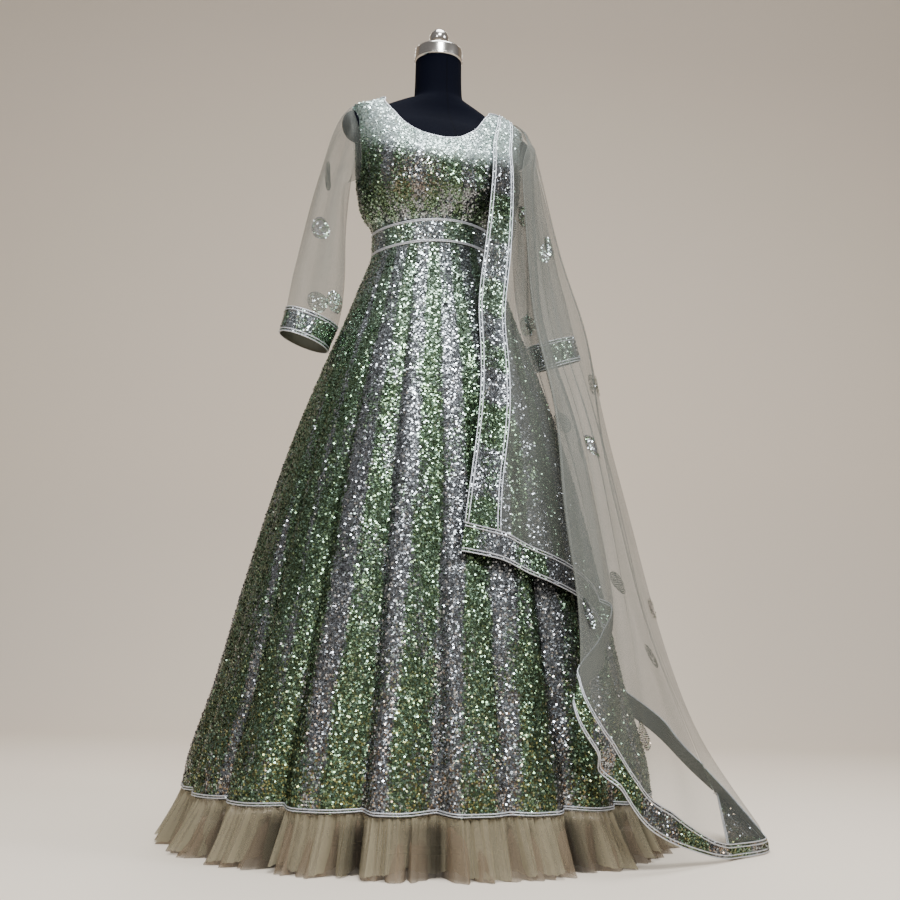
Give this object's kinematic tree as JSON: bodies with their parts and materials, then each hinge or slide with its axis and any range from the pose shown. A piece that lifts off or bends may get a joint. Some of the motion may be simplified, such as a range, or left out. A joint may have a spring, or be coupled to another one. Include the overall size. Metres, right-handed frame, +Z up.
{
  "type": "lehenga gown with matching dupatta on a dress form",
  "caption": "Floor-length sequin gown with net sleeves, a gathered net frill and a draped net dupatta, standing on a limbless dress form.",
  "frame": {"origin": "centre of the stand base's underside, on the pole's axis", "axes": "+Z up along the pole, -Y towards the garment's front, +X towards the wearer's left"},
  "size_m": [1.0618, 0.9748, 1.6226],
  "materials": {
    "sequin_cloth": "small sequins in bands of silver and green on a dark net ground",
    "net_cloth": "soft sheer net, beige grey",
    "corded_edge": "silver corded piping",
    "form_jersey": "black stretch jersey over the form",
    "polished_steel": "turned and polished",
    "painted_base": "satin black"
  },
  "bodies": {
    "root": {"bodice_back": "sequin_cloth", "bodice_front": "sequin_cloth", "cuff_left": "sequin_cloth", "cuff_right": "sequin_cloth", "dupatta_back_fall": "net_cloth", "dupatta_border_back_edge": "sequin_cloth", "dupatta_border_back_end": "sequin_cloth", "dupatta_border_front_edge": "sequin_cloth", "dupatta_border_front_end": "sequin_cloth", "dupatta_border_long_edge": "sequin_cloth", "dupatta_front_fall": "net_cloth", "form_base": "painted_base", "form_finial": "polished_steel", "form_neck_cap": "polished_steel", "form_pole": "polished_steel", "form_torso": "form_jersey", "frill_back": "net_cloth", "frill_front": "net_cloth", "hem_cord": "corded_edge", "neck_binding": "corded_edge", "skirt_back": "sequin_cloth", "skirt_front": "sequin_cloth", "sleeve_left": "net_cloth", "sleeve_right": "net_cloth", "waist_cord_lower": "corded_edge", "waist_cord_upper": "corded_edge", "waistband_back": "sequin_cloth", "waistband_front": "sequin_cloth"}
  },
  "joints": []
}
